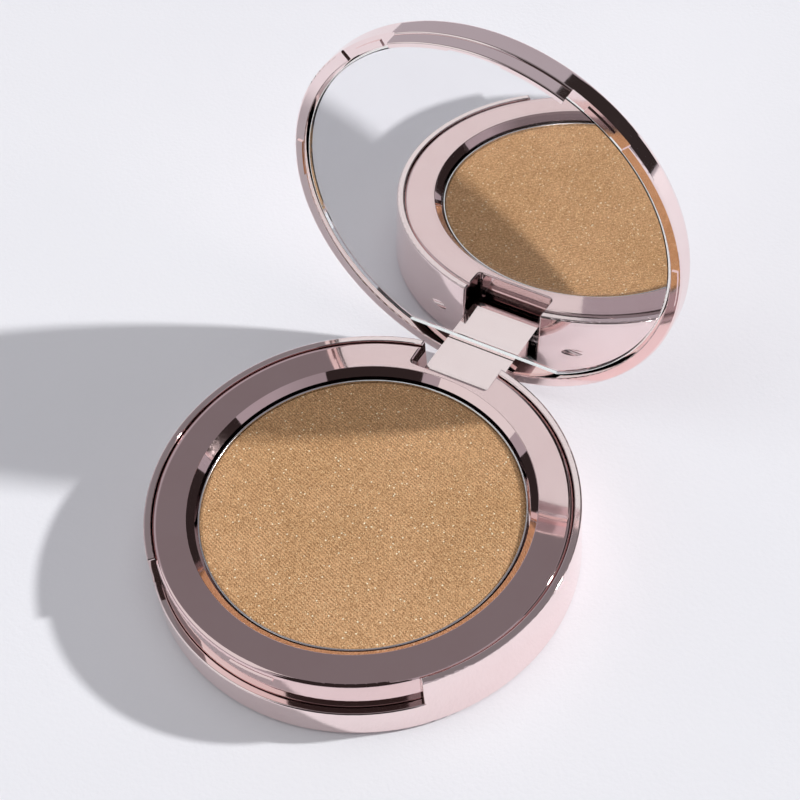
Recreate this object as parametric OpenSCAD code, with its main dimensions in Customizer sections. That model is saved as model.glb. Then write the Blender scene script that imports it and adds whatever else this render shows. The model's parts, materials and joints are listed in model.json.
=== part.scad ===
// Round mirror compact for pressed powder.
// Every lid part is drawn shut, then swung open about the hinge.
// Origin: centre of the underside. +Z up, front -Y, hinge at the rear, +Y. Millimetres.

/* [Overall] */
// Outside diameter of base and lid
body_d = 78; // [70:1:96]
// Height of the base, table to rim
base_h = 13.5; // [12:0.5:18]
// Thickness of the lid, rim to top
lid_h = 4.5; // [4.2:0.1:6]
// Gap between the two rims when the lid is shut
lid_gap = 0.35; // [0.3:0.05:0.6]
// How far the lid stands open at rest, from shut
open_angle = 95; // [0:1:102]

/* [Base shell] */
// Thickness of the base side wall
shell_wall = 1.35; // [1.3:0.05:1.6]
// Thickness of the base floor
floor_t = 1.6; // [1.2:0.1:2]
// Radius of the lower outside edge
bottom_round = 1; // [0.4:0.1:1.4]
// Radius of the rim edges
rim_round = 0.35; // [0.2:0.05:0.5]
// Half angle of the thumb recess, either side of the front
thumb_half = 45; // [34:1:50]
// Depth of the thumb recess below the rim
thumb_h = 6.7; // [5:0.1:8]
// Depth of the underside recess
foot_recess = 0.3; // [0.2:0.05:0.5]
// Width of the ring that the compact stands on
foot_w = 5; // [3:0.5:10]

/* [Deck tray] */
// Seam between the tray and the shell wall
seam_gap = 0.1; // [0.06:0.02:0.2]
// Thickness of the deck
deck_t = 1.5; // [1.2:0.1:2]
// Thickness of the tray's skirt, well wall and well floor
tray_wall = 1.2; // [1:0.1:1.5]
// Radius of the deck's outer edge
deck_round = 1; // [0.6:0.1:1.2]
// Width of the bevel round the well
bevel_w = 1.35; // [0.8:0.05:1.6]
// Depth of the bevel
bevel_h = 1.25; // [0.8:0.05:1.4]
// Radius of the bevel's upper edge
bevel_round = 0.2; // [0.1:0.05:0.3]
// Clearance round the pan in its well
pan_gap = 0.5; // [0.3:0.1:0.8]
// Radius of the push-out hole under the pan
push_hole_r = 4; // [3:0.5:6]

/* [Powder pan] */
// Outside diameter of the pan
pan_d = 59; // [54:0.5:60]
// Height of the pan
pan_h = 4.5; // [3.5:0.1:5]
// Thickness of the pan sheet
pan_t = 0.35; // [0.3:0.05:0.5]
// Depth of the pan rim below the deck
pan_drop = 1.65; // [1.5:0.05:2]
// Depth of the powder below the pan rim
powder_drop = 0.3; // [0.1:0.05:0.6]
// Radius of the powder's edge
powder_round = 0.5; // [0.2:0.1:1]
// Outer radius of the glue ring under the pan
glue_out_r = 16; // [12:1:20]
// Inner radius of the glue ring, clear of the push-out hole
glue_in_r = 6; // [6:0.5:9]
// Thickness of the glue ring
glue_t = 0.3; // [0.2:0.05:0.4]

/* [Hinge] */
// Width of the hinge notch in the base
notch_w = 16; // [12:0.5:20]
// Clearance between the lid's tongue and each side of the notch
tongue_side_gap = 0.95; // [0.2:0.05:1.5]
// Radius of the notch's front corners, seen from above
notch_corner = 0.8; // [0.5:0.1:1.2]
// Distance of the hinge axis inside the outer wall
axis_inset = 2.9; // [2.7:0.1:3.2]
// Height of the hinge axis above the table
axis_z = 5.65; // [5.4:0.05:6.5]
// Radius of the knuckle, and distance of the tongue's front face from the axis
knuckle_r = 3.1; // [2.4:0.1:3.2]
// Clearance between the tongue and the front wall of its notch
tongue_gap = 0.8; // [0.4:0.1:1]
// Distance of the tongue's rear face inside the outer wall
tongue_inset = 0.2; // [0.1:0.05:0.4]
// Clearance between the knuckle and the sill that stops the lid
sill_gap = 0.35; // [0.2:0.05:0.5]
// Diameter of the hinge pins
pin_d = 1.6; // [1.2:0.1:1.8]
// Length of each hinge pin
pin_l = 10; // [8:0.5:10]
// Radial clearance of the pin in the tongue
pin_gap = 0.05; // [0.02:0.01:0.1]
// Length of solid wall beside the notch that holds the pin
hinge_block_l = 5.6; // [4:0.1:7]

/* [Latch] */
// Half angle of the lid's thumb tab
tab_half = 25.4; // [18:0.2:30]
// Depth of the tab below the lid rim
tab_h = 2.7; // [2.4:0.1:3.2]
// Distance of the tab's outer face inside the outer wall
tab_inset = 0.3; // [0.2:0.05:0.4]
// Clearance between the tab and the tray's skirt
tab_gap = 0.2; // [0.15:0.05:0.3]
// Half angle of the catch on the tray
catch_half = 6.5; // [4:0.5:8]
// How far the catch stands out of the skirt
catch_out = 0.35; // [0.2:0.05:0.4]
// Height of the catch
catch_h = 0.9; // [0.6:0.1:1.2]
// Clearance round the catch
catch_gap = 0.15; // [0.15:0.05:0.2]
// Clearance between the catch and the ridge that hooks under it
hook_gap = 0.1; // [0.1:0.05:0.2]
// Height of the ridge that hooks under the catch
ridge_h = 0.45; // [0.3:0.05:0.6]
// Depth of the ridge, where the tab is hollowed behind it
ridge_t = 0.3; // [0.2:0.05:0.35]

/* [Lid] */
// Thickness of the lid's top
lid_top_t = 1.85; // [1:0.05:1.9]
// Width of the lid rim
lid_rim_w = 2.15; // [1.8:0.05:2.6]
// Radius of the lid's upper edge
lid_round = 1.2; // [0.6:0.1:1.6]
// Depth that the lid rim is cut back beside the tab
rim_step = 0.4; // [0.2:0.05:0.6]
// Angle between each front pad and the tab
pad_tab_gap = 5.6; // [2:0.2:6]
// Angle between each front pad and the end of the thumb recess
pad_end_gap = 4.7; // [2:0.1:6]
// Width of the pads on the lid rim
pad_w = 1.25; // [0.8:0.05:1.6]
// Half angle of the two side pads
side_pad_half = 6.1; // [4:0.1:8]
// Height of the pads
pad_h = 0.3; // [0.2:0.05:0.3]

/* [Mirror] */
// Thickness of the mirror glass
mirror_t = 1.1; // [0.8:0.1:1.8]
// Clearance round the mirror
mirror_gap = 0.55; // [0.3:0.05:0.8]
// Distance between the mirror's straight edge and the tongue
mirror_chord_gap = 0.3; // [0.1:0.1:1]
// Width of the mirror's bevelled edge
mirror_bevel = 0.35; // [0.2:0.05:0.5]
// Thickness of the mirror tape
tape_t = 1; // [0.3:0.1:1.2]
// How far the tape stops inside the mirror's edge
tape_margin = 3; // [2:0.5:8]

/* [Label] */
// Diameter of the underside label
label_d = 48; // [30:1:60]
// Thickness of the label
label_t = 0.12; // [0.08:0.02:0.2]

/* [Hidden] */

$fn = 96;
eps = 0.01;
rose_gold = [0.91, 0.74, 0.71];
rose_gold_deck = [0.86, 0.67, 0.64];

body_r = body_d / 2;
shell_in_r = body_r - shell_wall;
tray_r = shell_in_r - seam_gap;
well_r = pan_d / 2 + pan_gap;
deck_in_r = well_r + bevel_w;
pan_rim_z = base_h - pan_drop;
pan_z = pan_rim_z - pan_h;
tray_floor_z = pan_z - glue_t;
thumb_z = base_h - thumb_h;

axis_y = body_r - axis_inset;
tongue_y = axis_y - knuckle_r;
notch_y = tongue_y - tongue_gap;
tongue_back_r = body_r - tongue_inset;
notch_x = notch_w / 2;
tongue_x = notch_x - tongue_side_gap;
tongue_w = 2 * tongue_x;
sill_z = axis_z - knuckle_r - sill_gap;
// The pin's outer end is flush with the round wall on its rear side.
pin_end_x = sqrt(pow(body_r, 2) - pow(axis_y + pin_d / 2, 2));
block_x = notch_x + hinge_block_l;
block_y = axis_y - knuckle_r;
block_top = base_h - deck_t;

lid_z = base_h + lid_gap;
lid_top_z = lid_z + lid_h;
lid_in_r = body_r - lid_rim_w;
lid_ceiling = lid_top_z - lid_top_t;
tape_z = lid_ceiling - tape_t;
mirror_z = tape_z - mirror_t;
mirror_r = lid_in_r - mirror_gap;
mirror_chord = tongue_y - mirror_chord_gap;

tab_in_r = tray_r + tab_gap;
tab_out_r = body_r - tab_inset;
tab_z = lid_z - tab_h;
ridge_in_r = tray_r + catch_out + catch_gap;
window_r = ridge_in_r + ridge_t;
window_half = catch_half + 1;
catch_z = tab_z + ridge_h + hook_gap;
pad_out_r = lid_in_r + pad_w;

// Flat helpers -------------------------------------------------------------

// A rectangle given by two opposite corners
module rect(a, b) {
    translate(a) square([b[0] - a[0], b[1] - a[1]]);
}

// What a fillet of radius r takes off the outside corner p,
// where the two edges leave the corner in the directions a and b
module corner(p, a, b, r) {
    u = [cos(a), sin(a)];
    v = [cos(b), sin(b)];
    half = acos(u * v) / 2;
    mid = (u + v) / norm(u + v);
    centre = p + mid * r / sin(half);
    difference() {
        polygon([p - mid * eps, p + u * r / tan(half), centre, p + v * r / tan(half)]);
        translate(centre) circle(r);
    }
}

// Turns a profile over an arc that is centred on direction mid,
// measured from the front (-Y) towards +X
module arc(mid, half) {
    rotate([0, 0, mid - 90 - half]) rotate_extrude(angle = 2 * half) children();
}

// The lid's place: what is drawn shut is swung open about the hinge
module opened() {
    translate([0, axis_y, axis_z]) rotate([-open_angle, 0, 0])
        translate([0, -axis_y, -axis_z]) children();
}

// The hinge notch seen from above, with rounded front corners
module notch_plan() {
    rect([notch_corner - notch_x, notch_y], [notch_x - notch_corner, body_d]);
    rect([-notch_x, notch_y + notch_corner], [notch_x, body_d]);
    for (side = [-1, 1])
        translate([side * (notch_x - notch_corner), notch_y + notch_corner]) circle(notch_corner);
}

// Rounds the notch's upper edge, which runs along its front wall and both sides
module notch_edge() {
    translate([notch_corner - notch_x, 0, 0]) rotate([90, 0, 90])
        linear_extrude(notch_w - 2 * notch_corner)
            corner([notch_y, base_h], 180, 270, rim_round);
    for (side = [0, 1]) mirror([side, 0, 0]) {
        translate([0, body_d, 0]) rotate([90, 0, 0])
            linear_extrude(body_d - notch_y - notch_corner)
                corner([notch_x, base_h], 0, 270, rim_round);
        translate([notch_x - notch_corner, notch_y + notch_corner, 0]) rotate([0, 0, -90])
            rotate_extrude(angle = 90) corner([notch_corner, base_h], 0, 270, rim_round);
    }
}

// A round bar along X on the hinge axis
module axis_bar(r, x0, x1) {
    translate([x0, axis_y, axis_z]) rotate([0, 90, 0]) cylinder(h = x1 - x0, r = r);
}

// Base ---------------------------------------------------------------------

module shell_profile() {
    difference() {
        rect([0, 0], [body_r, base_h]);
        rect([-eps, floor_t], [shell_in_r, base_h + 1]);
        rect([-eps, -1], [body_r - foot_w, foot_recess]);
        corner([body_r, 0], 90, 180, bottom_round);
        corner([body_r, base_h], 180, 270, rim_round);
        corner([shell_in_r, base_h], 0, 270, rim_round / 2);
    }
}

// Takes the side wall down to the floor of the thumb recess, and rounds the edges there
module thumb_recess() {
    arc(0, thumb_half) {
        rect([shell_in_r - eps, thumb_z], [body_r + 1, base_h + 1]);
        corner([body_r, thumb_z], 180, 270, rim_round);
        corner([shell_in_r, thumb_z], 0, 270, rim_round / 2);
    }
    for (side = [0, 1]) mirror([side, 0, 0]) rotate([0, 0, thumb_half - 90]) {
        rotate([90, 0, 90]) linear_extrude(body_d) corner([0, base_h], 0, 270, rim_round);
        translate([0, 0, thumb_z]) linear_extrude(thumb_h + 1)
            corner([body_r, 0], 90, 180, rim_round);
    }
}

// Cuts the hinge notch through the rear wall, down to the sill
module shell_notch() {
    wall_y = sqrt(pow(body_r, 2) - pow(notch_x, 2));
    wall_angle = -atan2(notch_x, wall_y);
    translate([-notch_x, block_y - 1, sill_z]) cube([notch_w, body_r, base_h]);
    translate([-notch_x, block_y - 1, floor_t]) cube([notch_w, shell_in_r - block_y, base_h]);
    notch_edge();
    for (side = [0, 1]) mirror([side, 0, 0]) translate([0, 0, sill_z]) linear_extrude(base_h)
        corner([notch_x, wall_y], wall_angle, 270, rim_round);
}

module base_shell() {
    color(rose_gold) difference() {
        union() {
            rotate_extrude() shell_profile();
            // solid wall on both sides of the hinge notch
            intersection() {
                translate([-block_x, block_y, floor_t / 2])
                    cube([2 * block_x, knuckle_r + axis_inset, block_top - floor_t / 2]);
                cylinder(h = base_h, r = body_r - shell_wall / 2);
            }
        }
        thumb_recess();
        shell_notch();
        axis_bar(pin_d / 2, notch_x - 1, body_r);
        axis_bar(pin_d / 2, -body_r, 1 - notch_x);
    }
}

module tray_profile() {
    slope = atan2(bevel_h, bevel_w);
    difference() {
        union() {
            rect([well_r, base_h - deck_t], [tray_r, base_h]);
            rect([tray_r - tray_wall, floor_t], [tray_r, base_h]);
            rect([well_r - eps, tray_floor_z - tray_wall], [well_r + tray_wall, base_h]);
            rect([push_hole_r, tray_floor_z - tray_wall], [well_r + tray_wall, tray_floor_z]);
        }
        polygon([[well_r - 1, base_h - bevel_h - bevel_h / bevel_w], [deck_in_r, base_h],
                 [deck_in_r, base_h + 1], [well_r - 1, base_h + 1]]);
        corner([deck_in_r, base_h], 0, 180 + slope, bevel_round);
        corner([tray_r, base_h], 180, 270, deck_round);
    }
}

module deck_tray() {
    tray_low = tray_floor_z - tray_wall;
    color(rose_gold_deck) difference() {
        union() {
            rotate_extrude() tray_profile();
            // flat front wall of the hinge notch, outside the round well
            difference() {
                translate([-notch_x - tray_wall, well_r, tray_low])
                    cube([notch_w + 2 * tray_wall, notch_y - well_r, base_h - deck_t - tray_low]);
                translate([0, 0, tray_low - 1]) cylinder(h = base_h, r = well_r + tray_wall / 2);
            }
            // catch, with a lead-in slope on top
            arc(0, catch_half)
                polygon([[tray_r - tray_wall / 2, catch_z], [tray_r + catch_out, catch_z],
                         [tray_r + catch_out, catch_z + catch_h / 2],
                         [tray_r - tray_wall / 2, catch_z + catch_h]]);
        }
        // notch through deck and skirt
        translate([0, 0, -1]) linear_extrude(base_h + 2) notch_plan();
        notch_edge();
        // room for the shell's solid walls beside the notch
        translate([-block_x - seam_gap, notch_y + seam_gap, -1])
            cube([2 * (block_x + seam_gap), body_r, block_top + 1]);
    }
}

module pan_glue_ring() {
    color("ivory") translate([0, 0, tray_floor_z]) difference() {
        cylinder(h = glue_t, r = glue_out_r);
        translate([0, 0, -1]) cylinder(h = glue_t + 2, r = glue_in_r);
    }
}

module powder_pan() {
    out_r = pan_d / 2;
    color("silver") rotate_extrude() difference() {
        rect([0, pan_z], [out_r, pan_rim_z]);
        rect([-eps, pan_z + pan_t], [out_r - pan_t, pan_rim_z + 1]);
        corner([out_r, pan_z], 90, 180, 2 * pan_t);
        corner([out_r, pan_rim_z], 180, 270, pan_t / 3);
        corner([out_r - pan_t, pan_rim_z], 0, 270, pan_t / 3);
    }
}

module pressed_powder() {
    r = pan_d / 2 - pan_t;
    top = pan_rim_z - powder_drop;
    color([0.74, 0.58, 0.38]) rotate_extrude() difference() {
        rect([0, pan_z + pan_t], [r, top]);
        corner([r, top], 180, 270, powder_round);
    }
}

module hinge_pin(side) {
    x0 = side > 0 ? pin_end_x - pin_l : -pin_end_x;
    color("gainsboro") axis_bar(pin_d / 2, x0, x0 + pin_l);
}

module hinge_pin_left() {
    hinge_pin(-1);
}

module hinge_pin_right() {
    hinge_pin(1);
}

module underside_label() {
    color("mistyrose") translate([0, 0, foot_recess - label_t])
        cylinder(h = label_t, r = label_d / 2);
}

// Lid ----------------------------------------------------------------------

module lid_profile() {
    difference() {
        rect([0, lid_z], [body_r, lid_top_z]);
        rect([-eps, lid_z - 1], [lid_in_r, lid_ceiling]);
        corner([body_r, lid_top_z], 180, 270, lid_round);
        corner([body_r, lid_z], 90, 180, rim_round);
        corner([lid_in_r, lid_z], 0, 90, rim_round / 2);
    }
}

// The tab that hangs into the thumb recess, with a window for the catch
module thumb_tab() {
    difference() {
        arc(0, tab_half) difference() {
            rect([tab_in_r, tab_z], [tab_out_r, lid_z + rim_step]);
            corner([tab_out_r, tab_z], 90, 180, rim_round);
        }
        arc(0, window_half) {
            rect([tab_in_r - 1, tab_z + ridge_h], [window_r, lid_z - rim_step]);
            rect([tab_in_r - 1, tab_z - 1], [ridge_in_r, lid_z - rim_step]);
        }
    }
}

// The tongue runs from inside the lid down to the knuckle
module hinge_tongue() {
    difference() {
        intersection() {
            union() {
                translate([-tongue_x, tongue_y, axis_z])
                    cube([tongue_w, body_r, lid_ceiling + lid_top_t / 2 - axis_z]);
                axis_bar(knuckle_r, -tongue_x, tongue_x);
            }
            cylinder(h = lid_top_z, r = tongue_back_r);
        }
        axis_bar(pin_d / 2 + pin_gap, pin_end_x - pin_l - pin_gap, body_r);
        axis_bar(pin_d / 2 + pin_gap, -body_r, pin_l - pin_end_x + pin_gap);
    }
}

module lid_shell() {
    step_mid = (tab_half + thumb_half) / 2;
    pad_start = tab_half + pad_tab_gap;
    pad_end = thumb_half - pad_end_gap;
    color(rose_gold) opened() {
        difference() {
            rotate_extrude() lid_profile();
            for (side = [-1, 1])
                arc(side * step_mid, (thumb_half - tab_half) / 2)
                    rect([lid_in_r - 1, lid_z - 1], [body_r + 1, lid_z + rim_step]);
        }
        thumb_tab();
        hinge_tongue();
        for (side = [-1, 1]) {
            arc(side * (pad_start + pad_end) / 2, (pad_end - pad_start) / 2)
                rect([lid_in_r, lid_z + rim_step - pad_h], [pad_out_r, lid_z + 2 * rim_step]);
            arc(side * 90, side_pad_half)
                rect([lid_in_r + rim_round, lid_z - pad_h], [pad_out_r + rim_round / 2, lid_z + pad_h]);
        }
    }
}

module mirror_tape() {
    color("whitesmoke") opened() translate([0, 0, tape_z]) linear_extrude(tape_t)
        intersection() {
            circle(mirror_r - tape_margin);
            rect([-body_r, -body_r], [body_r, mirror_chord - tape_margin]);
        }
}

module mirror_glass() {
    bevel_cut = 2 * mirror_bevel;
    color("lightcyan") opened() difference() {
        rotate_extrude() polygon([[0, mirror_z], [mirror_r - mirror_bevel, mirror_z],
                                  [mirror_r, mirror_z + mirror_bevel], [mirror_r, tape_z],
                                  [0, tape_z]]);
        translate([-body_r, mirror_chord, mirror_z - 1]) cube([body_d, body_r, mirror_t + 2]);
        translate([-body_r, mirror_chord, mirror_z]) rotate([45, 0, 0])
            translate([0, -bevel_cut, -mirror_bevel * sqrt(0.5)])
                cube([body_d, 2 * bevel_cut, mirror_bevel * sqrt(2)]);
    }
}

base_shell();
deck_tray();
pan_glue_ring();
powder_pan();
pressed_powder();
hinge_pin_left();
hinge_pin_right();
underside_label();
lid_shell();
mirror_tape();
mirror_glass();
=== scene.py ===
import json
import math

import bmesh
import bpy
from mathutils import Matrix, Vector, noise


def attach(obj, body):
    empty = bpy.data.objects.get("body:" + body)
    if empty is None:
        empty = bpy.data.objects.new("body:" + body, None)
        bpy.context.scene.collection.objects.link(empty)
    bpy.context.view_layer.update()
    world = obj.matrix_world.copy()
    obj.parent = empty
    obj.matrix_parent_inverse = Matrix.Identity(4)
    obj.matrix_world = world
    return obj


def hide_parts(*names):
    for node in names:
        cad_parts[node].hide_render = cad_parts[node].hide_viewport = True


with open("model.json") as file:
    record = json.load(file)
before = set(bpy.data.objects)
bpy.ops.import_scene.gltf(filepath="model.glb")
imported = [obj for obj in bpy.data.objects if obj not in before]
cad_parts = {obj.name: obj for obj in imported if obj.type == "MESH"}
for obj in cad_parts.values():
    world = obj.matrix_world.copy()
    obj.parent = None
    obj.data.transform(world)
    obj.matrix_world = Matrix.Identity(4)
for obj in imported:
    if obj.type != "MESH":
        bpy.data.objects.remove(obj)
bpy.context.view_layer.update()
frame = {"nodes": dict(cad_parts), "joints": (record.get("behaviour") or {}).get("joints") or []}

MM = 0.001
NODES = frame["nodes"]


# Camera -----------------------------------------------------------------------------------

AZIMUTH = math.radians(34.3)
ELEVATION = math.radians(51.15)
ROLL = math.radians(-6.39)
DISTANCE = 364.6 * MM
AIM = Vector((-4.04, 21.56, 16.18)) * MM
LENS_MM = 89.9


def make_camera():
    """The camera looks down on the open compact from its front right."""
    forward = Vector((-math.sin(AZIMUTH) * math.cos(ELEVATION),
                      math.cos(AZIMUTH) * math.cos(ELEVATION),
                      -math.sin(ELEVATION)))
    level = Vector((math.cos(AZIMUTH), math.sin(AZIMUTH), 0))
    above = level.cross(forward)
    right = level * math.cos(ROLL) + above * math.sin(ROLL)
    up = above * math.cos(ROLL) - level * math.sin(ROLL)
    camera = bpy.data.objects.new("camera", bpy.data.cameras.new("camera"))
    camera.data.lens = LENS_MM
    camera.data.sensor_width = 36
    camera.data.clip_start = 0.01
    turn = Matrix((right, up, -forward)).transposed().to_4x4()
    camera.matrix_world = Matrix.Translation(AIM - forward * DISTANCE) @ turn
    bpy.context.scene.collection.objects.link(camera)
    bpy.context.scene.camera = camera


make_camera()


# Shader nodes -----------------------------------------------------------------------------

class Value:
    """A number that a node gives. Arithmetic on it adds Math nodes."""

    def __init__(self, shading, socket):
        self.shading = shading
        self.socket = socket

    def math(self, operation, first, second=None):
        inputs = {0: first} if second is None else {0: first, 1: second}
        return self.shading.node("Math", {"operation": operation}, inputs)

    def __add__(self, other):
        return self.math("ADD", self, other)

    def __radd__(self, other):
        return self.math("ADD", other, self)

    def __sub__(self, other):
        return self.math("SUBTRACT", self, other)

    def __rsub__(self, other):
        return self.math("SUBTRACT", other, self)

    def __mul__(self, other):
        return self.math("MULTIPLY", self, other)

    def __rmul__(self, other):
        return self.math("MULTIPLY", other, self)

    def __lt__(self, other):
        return self.math("LESS_THAN", self, other)

    def __gt__(self, other):
        return self.math("GREATER_THAN", self, other)

    def sine(self):
        return self.math("SINE", self)


class Shading:
    """A node tree, built up node by node."""

    def __init__(self, tree, coordinates):
        self.tree = tree
        self.place = self.node("TexCoord", output=coordinates)

    def node(self, kind, settings=None, inputs=None, output=0):
        """Adds a node: its settings first, then its inputs' values or links."""
        made = self.tree.nodes.new("ShaderNode" + kind)
        for key, value in (settings or {}).items():
            if key == "stops":
                self.set_stops(made.color_ramp, value)
            else:
                setattr(made, key, value)
        for key, value in (inputs or {}).items():
            if isinstance(value, Value):
                self.tree.links.new(value.socket, made.inputs[key])
            else:
                made.inputs[key].default_value = value
        return Value(self, made.outputs[output])

    @staticmethod
    def set_stops(ramp, stops):
        """Stops are (position, grey or colour) from left to right."""
        while len(ramp.elements) < len(stops):
            ramp.elements.new(1)
        for element, (position, colour) in zip(ramp.elements, stops):
            element.position = position
            grey = isinstance(colour, (int, float))
            element.color = (colour, colour, colour, 1) if grey else (*colour, 1)

    def axis(self, vector, name):
        return self.node("SeparateXYZ", inputs={0: vector}, output=name)

    def noise(self, per_mm, detail=3, roughness=0.5, place=None):
        return self.node("TexNoise", inputs={
            "Vector": place or self.place, "Scale": per_mm / MM,
            "Detail": detail, "Roughness": roughness}, output="Fac")

    def spots(self, size_mm, radius_mm, share):
        """Round specks, one at most in each cell: 1 inside, 0 outside."""
        cells = {"Vector": self.place, "Scale": 1 / (size_mm * MM)}
        distance = self.node("TexVoronoi", inputs=cells, output="Distance")
        chance = self.node("SeparateColor", inputs={
            0: self.node("TexVoronoi", inputs=cells, output="Color")})
        return (distance < radius_mm / size_mm) * (chance < share)

    def ramp(self, value, stops):
        return self.node("ValToRGB", {"stops": stops}, {0: value})

    def blend(self, factor, first, second):
        """Mixes two colours."""
        return self.node("Mix", {"data_type": "RGBA"}, {0: factor, 6: first, 7: second}, output=2)

    def bump(self, height_mm, normal=None):
        """A bump whose height is in millimetres, over an earlier bump if there is one."""
        inputs = {"Height": height_mm, "Distance": MM, "Strength": 1}
        if normal:
            inputs["Normal"] = normal
        return self.node("Bump", inputs=inputs)


class Finish(Shading):
    """A material with a Principled shader."""

    def __init__(self, name, **constants):
        self.material = bpy.data.materials.new(name)
        self.material.use_nodes = True
        self.shader = self.material.node_tree.nodes["Principled BSDF"]
        for key, value in constants.items():
            self.shader.inputs[key.replace("_", " ")].default_value = value
        super().__init__(self.material.node_tree, "Object")

    def feed(self, **sockets):
        """Links values to the shader's own inputs."""
        for key, value in sockets.items():
            self.tree.links.new(value.socket, self.shader.inputs[key.replace("_", " ")])
        return self.material


def rgb(red, green, blue):
    return (red, green, blue, 1)


# Finishes ---------------------------------------------------------------------------------

def plating(name, colour, warm, ripple_mm, gloss):
    """Bright vacuum plating on moulded plastic: faint ripple, thumb smears, a little dust."""
    finish = Finish(name, Metallic=1)
    smear = finish.ramp(finish.noise(0.09, 4, 0.6), [(0.42, 0), (0.72, 1)])
    hairline = finish.ramp(finish.noise(1.6, 2, 0.4), [(0.5, 0), (0.75, 1)])
    dust = finish.spots(5, 0.07, 0.35)
    tint = finish.blend(smear, rgb(*colour), rgb(*warm))
    ripple = finish.noise(0.16, 2, 0.4) * ripple_mm
    pinholes = finish.noise(1.1, 2, 0.5) * (ripple_mm * 0.07)
    return finish.feed(
        Base_Color=finish.blend(dust * 0.6, tint, rgb(0.35, 0.3, 0.28)),
        Roughness=gloss + smear * 0.035 + hairline * 0.02 + dust * 0.4,
        Normal=finish.bump(ripple + pinholes))


def silvering():
    """The bright silver layer behind the glass."""
    finish = Finish("silver_layer", Metallic=1)
    cloud = finish.noise(0.05, 3, 0.6)
    return finish.feed(
        Base_Color=finish.blend(cloud, rgb(0.97, 0.965, 0.975), rgb(0.95, 0.945, 0.955)),
        Roughness=0.006 + cloud * 0.01)


def float_glass():
    """Clear glass, with a trace of wiping and dust."""
    finish = Finish("float_glass", Transmission_Weight=1, IOR=1.52)
    wipe = finish.ramp(finish.noise(0.06, 3, 0.6), [(0.55, 0), (0.85, 1)])
    dust = finish.spots(7, 0.06, 0.3)
    return finish.feed(
        Base_Color=finish.blend(dust, rgb(1, 1, 1), rgb(0.8, 0.8, 0.8)),
        Roughness=wipe * 0.015 + dust * 0.4)


def ground_edge_painted_glow():
    """The mirror's ground edge: pale grit, and a painted glow, a constant emission, in place of light
    gathered by the glass.
    """
    # Painted light: the edge glows with its own emission, though it is no lamp.
    finish = Finish("ground_edge_painted_glow", Roughness=0.5, Emission_Strength=0.55)
    grit = finish.noise(6, 3, 0.7)
    white_and_painted_glow = finish.blend(grit, rgb(0.82, 0.86, 0.87), rgb(0.97, 0.98, 0.98))
    return finish.feed(Base_Color=white_and_painted_glow, Emission_Color=white_and_painted_glow, Normal=finish.bump(grit * 0.01))


def drawn_aluminium():
    """Bright pan sheet with drawing marks round its wall."""
    finish = Finish("drawn_aluminium", Metallic=1)
    squashed = finish.node("Mapping", inputs={"Vector": finish.place, "Scale": (0.15, 0.15, 3)})
    marks = finish.noise(2.2, 3, 0.6, place=squashed)
    return finish.feed(
        Base_Color=finish.blend(marks, rgb(0.78, 0.78, 0.79), rgb(0.9, 0.9, 0.9)),
        Roughness=0.16 + marks * 0.12,
        Normal=finish.bump(marks * 0.004))


def shimmer_powder():
    """Pressed bronze powder: a pressed cloth imprint and coarse grain with painted light on their
    crests and painted shade in their hollows, gold flakes, and sparkle specks with painted glints.
    """
    finish = Finish("shimmer_powder", Specular_IOR_Level=0.3)
    turned = finish.node("Mapping", inputs={
        "Vector": finish.place, "Rotation": (0, 0, math.radians(20))})
    thread = 2 * math.pi / (0.52 * MM)
    warp = (finish.axis(turned, "X") * thread).sine()
    weft = (finish.axis(turned, "Y") * thread).sine()
    weave = weft * 0.6 + warp * weft * 0.4
    grain = finish.noise(4.2, 2, 0.6)
    worn = finish.noise(0.12, 3, 0.6)
    relief = grain + weave * (worn * 0.2)
    cloud = finish.ramp(finish.noise(0.06, 4, 0.6), [(0.35, 0), (0.65, 1)])
    # Painted light and shade on the imprint: its crests take a lit colour and its hollows a much
    # darker shaded one.
    relief_painted_shade = finish.blend(cloud, rgb(0.245, 0.115, 0.04), rgb(0.3, 0.15, 0.06))
    lit = finish.blend(cloud, rgb(0.78, 0.46, 0.225), rgb(0.84, 0.5, 0.26))
    body = finish.blend(finish.ramp(relief, [(0.3, 0), (0.7, 1)]), relief_painted_shade, lit)
    flakes = finish.spots(0.4, 0.1, 0.4)
    # Sparkle specks: real specks whose glints are painted in as a bright, pale gold colour.
    glitter_with_painted_glint = finish.spots(0.85, 0.15, 0.3)
    gold = finish.blend(flakes, body, rgb(1, 0.74, 0.42))
    return finish.feed(
        Base_Color=finish.blend(glitter_with_painted_glint, gold, rgb(1, 0.9, 0.66)),
        Metallic=flakes * 0.5,
        Roughness=0.7 - flakes * 0.3 - glitter_with_painted_glint * 0.35,
        Normal=finish.bump(relief * 0.12))


def bright_steel():
    finish = Finish("bright_steel", Metallic=1)
    marks = finish.noise(1.5, 3, 0.6)
    return finish.feed(
        Base_Color=finish.blend(marks, rgb(0.55, 0.55, 0.56), rgb(0.7, 0.7, 0.71)),
        Roughness=0.2 + marks * 0.15)


def soft_solid(name, low, high, per_mm, rough, relief_mm):
    """Glue, tape or paper: mottled colour and a fine relief."""
    finish = Finish(name, Roughness=rough)
    mottle = finish.noise(per_mm, 4, 0.6)
    return finish.feed(
        Base_Color=finish.blend(mottle, rgb(*low), rgb(*high)),
        Normal=finish.bump(mottle * relief_mm))


def floor_paper():
    finish = Finish("floor_paper", Roughness=0.85)
    fibre = finish.noise(1.2, 4, 0.6)
    tone = finish.noise(0.012, 2, 0.5)
    return finish.feed(
        Base_Color=finish.blend(tone, rgb(0.80, 0.80, 0.84), rgb(0.86, 0.86, 0.89)),
        Normal=finish.bump(fibre * 0.05))


# One plating in two copies: the shell's is painted lighter and paler for the bright light its walls
# reflect, the deck's darker and pinker for its dark reflections.
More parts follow.
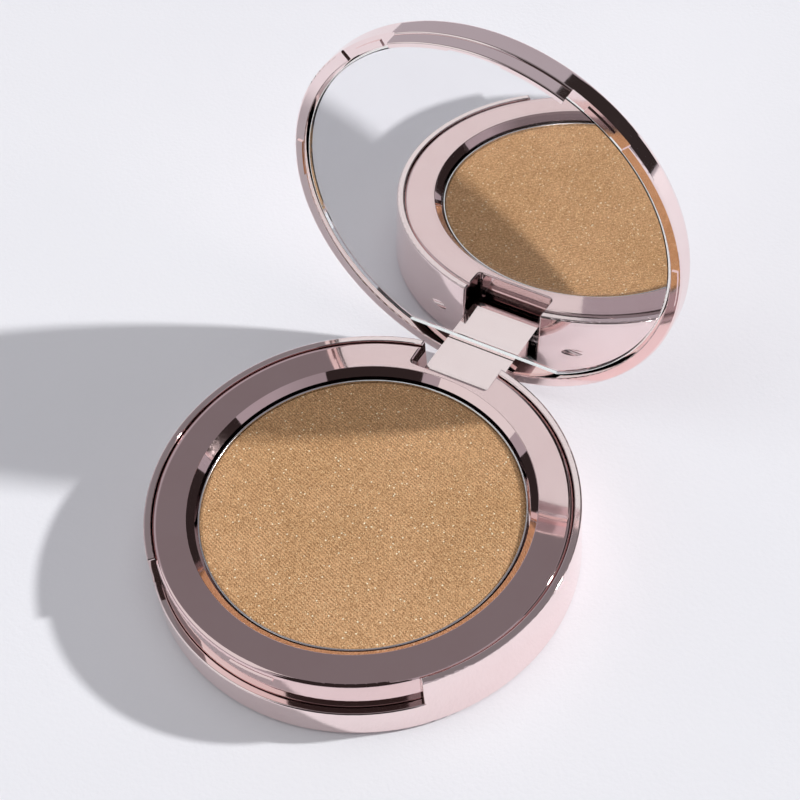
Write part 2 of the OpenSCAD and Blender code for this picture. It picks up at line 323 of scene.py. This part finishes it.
shell_plating_painted_lighter = plating("shell_plating_painted_lighter", (0.95, 0.79, 0.775), (0.93, 0.76, 0.745), 0.004, 0.04)
deck_plating_painted_darker = plating("deck_plating_painted_darker", (0.86, 0.65, 0.64), (0.84, 0.62, 0.61), 0.003, 0.02)
FINISHES = {
    "base_shell": shell_plating_painted_lighter,
    "lid_shell": shell_plating_painted_lighter,
    "deck_tray": deck_plating_painted_darker,
    "powder_pan": drawn_aluminium(),
    "pressed_powder": shimmer_powder(),
    "mirror_glass": ground_edge_painted_glow(),
    "hinge_pin_left": bright_steel(),
    "hinge_pin_right": bright_steel(),
    "pan_glue_ring": soft_solid("set_glue", (0.8, 0.74, 0.58), (0.88, 0.84, 0.72), 0.5, 0.4, 0.05),
    "mirror_tape": soft_solid("foam_tape", (0.8, 0.8, 0.78), (0.9, 0.9, 0.88), 3, 0.8, 0.06),
    "underside_label": soft_solid("label_paper", (0.84, 0.74, 0.72), (0.9, 0.81, 0.79), 2, 0.5, 0.01),
}


def dress_nodes():
    for name, material in FINISHES.items():
        slots = NODES[name].data.materials
        slots.clear()
        slots.append(material)


dress_nodes()


# Mirror -----------------------------------------------------------------------------------

HINGE = next(joint for joint in frame["joints"] if joint["name"] == "lid_hinge")
AXIS = Vector(HINGE["pos_m"])
OPEN_ANGLE = math.radians(HINGE["range_deg"][0])
OPENED = Matrix.Translation(AXIS) @ Matrix.Rotation(OPEN_ANGLE, 4, "X") @ Matrix.Translation(-AXIS)
ROUND_SEGMENTS = 256
SILVER_T = 0.1 * MM
EDGE_T = 0.08 * MM
HAIR = 0.005 * MM
ARRIS = 0.15 * MM


def link(name, data):
    made = bpy.data.objects.new(name, data)
    bpy.context.scene.collection.objects.link(made)
    return made


def piece(name, shape, material, body):
    """Makes an object of a bmesh, which rides on a body and has one finish."""
    mesh = bpy.data.meshes.new(name)
    shape.to_mesh(mesh)
    shape.free()
    mesh.materials.append(material)
    made = link(name, mesh)
    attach(made, body)
    return made


def drawn_shut(node):
    """A lid node's lowest and highest corners with the lid shut."""
    points = [OPENED.inverted() @ vertex.co for vertex in NODES[node].data.vertices]
    return Vector(map(min, zip(*points))), Vector(map(max, zip(*points)))


def mirror_outline(inset, z):
    """A flat face with the mirror's outline: round, and cut straight beside the hinge."""
    far = drawn_shut("mirror_glass")[1]
    shape = bmesh.new()
    bmesh.ops.create_circle(shape, segments=ROUND_SEGMENTS, radius=far.x - inset, cap_ends=True)
    bmesh.ops.translate(shape, verts=shape.verts, vec=(0, 0, z))
    bmesh.ops.bisect_plane(
        shape, geom=shape.verts[:] + shape.edges[:] + shape.faces[:], dist=HAIR / 10,
        plane_co=(0, far.y - inset, 0), plane_no=(0, 1, 0), clear_outer=True)
    return shape


def thicken(shape, thickness, arris=0):
    """Gives flat faces their thickness, takes the arris off, and swings the result open."""
    rim = shape.edges[:]
    raised = bmesh.ops.extrude_face_region(shape, geom=shape.faces[:])
    top = [part for part in raised["geom"] if isinstance(part, bmesh.types.BMVert)]
    bmesh.ops.translate(shape, verts=top, vec=(0, 0, thickness))
    bmesh.ops.recalc_face_normals(shape, faces=shape.faces)
    if arris:
        bmesh.ops.bevel(shape, geom=rim, offset=arris, affect="EDGES",
                        segments=1, profile=0.5, material=-1)
    bmesh.ops.transform(shape, matrix=OPENED, verts=shape.verts)


def make_mirror():
    """A glass pane, the silver behind it, and the ground edge round the pane, which glows with
    painted light.
    """
    front = drawn_shut("mirror_glass")[0].z
    back = drawn_shut("mirror_glass")[1].z
    pane_t = back - front - SILVER_T - HAIR

    pane = mirror_outline(EDGE_T + HAIR, front)
    thicken(pane, pane_t, ARRIS)
    glass = piece("mirror_pane", pane, float_glass(), "lid")
    glass.visible_shadow = False
    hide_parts("mirror_glass")

    silver = mirror_outline(0, back - SILVER_T)
    thicken(silver, SILVER_T)
    piece("mirror_silver_layer", silver, silvering(), "lid")

    # The ground edge band glows with painted light, from its finish's emission.
    band = mirror_outline(0, front + ARRIS)
    inner = band.faces[:]
    bmesh.ops.inset_region(
        band, faces=inner, thickness=EDGE_T, use_boundary=True, use_even_offset=True)
    bmesh.ops.delete(band, geom=inner, context="FACES")
    thicken(band, pane_t - ARRIS)
    piece("mirror_ground_edge_painted_glow", band, ground_edge_painted_glow(), "lid")


make_mirror()


# Stage ------------------------------------------------------------------------------------

SKY_LOW = (0.43, 0.42, 0.46)
SKY_HIGH = (0.22, 0.21, 0.225)
WINDOW = (0.84, 0.88, 0.89)
FLAG = (0.03, 0.024, 0.024)
# Cards in the sky: colour, bearing from the front towards +X, and elevation, in degrees
CARDS = [
    (WINDOW, -82, -22, 20, 68),
    (FLAG, -12, 47, 4, 45),
    (FLAG, -24, 47, 45, 72),
    (FLAG, 105, 165, 0.5, 40),
    (FLAG, -105, -78, 0.5, 15),
]
KEY_FROM = (0.69, 0.5, 0.515)
KEY_STRENGTH = 3.0
OVERHEAD_STRENGTH = 0.66


def make_floor():
    mesh = bpy.data.meshes.new("floor")
    shape = bmesh.new()
    bmesh.ops.create_grid(shape, x_segments=1, y_segments=1, size=3)
    bmesh.ops.translate(shape, verts=shape.verts, vec=(0, 0, -0.02 * MM))
    shape.to_mesh(mesh)
    shape.free()
    floor = link("floor", mesh)
    mesh.materials.append(floor_paper())


def make_sky():
    """A grey studio, darker overhead, with a bright window and black flags."""
    world = bpy.data.worlds.new("studio")
    bpy.context.scene.world = world
    world.use_nodes = True
    sky = Shading(world.node_tree, "Generated")
    height = sky.axis(sky.place, "Z")
    bearing = sky.node("Math", {"operation": "ARCTAN2"}, {
        0: sky.axis(sky.place, "X"), 1: 0 - sky.axis(sky.place, "Y")})
    shade = sky.ramp(height, [(0.0, SKY_LOW), (0.64, SKY_LOW), (0.76, SKY_HIGH)])
    for colour, left, right, low, high in CARDS:
        inside = ((bearing > math.radians(left)) * (bearing < math.radians(right))
                  * (height > math.sin(math.radians(low)))
                  * (height < math.sin(math.radians(high))))
        shade = sky.blend(inside, shade, rgb(*colour))
    sky.tree.links.new(shade.socket, sky.tree.nodes["Background"].inputs["Color"])


def make_sun(name, direction, strength, angle):
    lamp = bpy.data.lights.new(name, "SUN")
    lamp.energy = strength
    lamp.angle = math.radians(angle)
    made = link(name, lamp)
    made.rotation_mode = "QUATERNION"
    made.rotation_quaternion = Vector(direction).to_track_quat("Z", "Y")
    return made


def make_light():
    make_sky()
    make_sun("key", KEY_FROM, KEY_STRENGTH, 3)
    overhead = make_sun("overhead", (0, 0, 1), OVERHEAD_STRENGTH, 60)
    overhead.visible_glossy = False
    overhead.visible_transmission = False


make_floor()
make_light()
bpy.context.scene.view_settings.view_transform = "Standard"
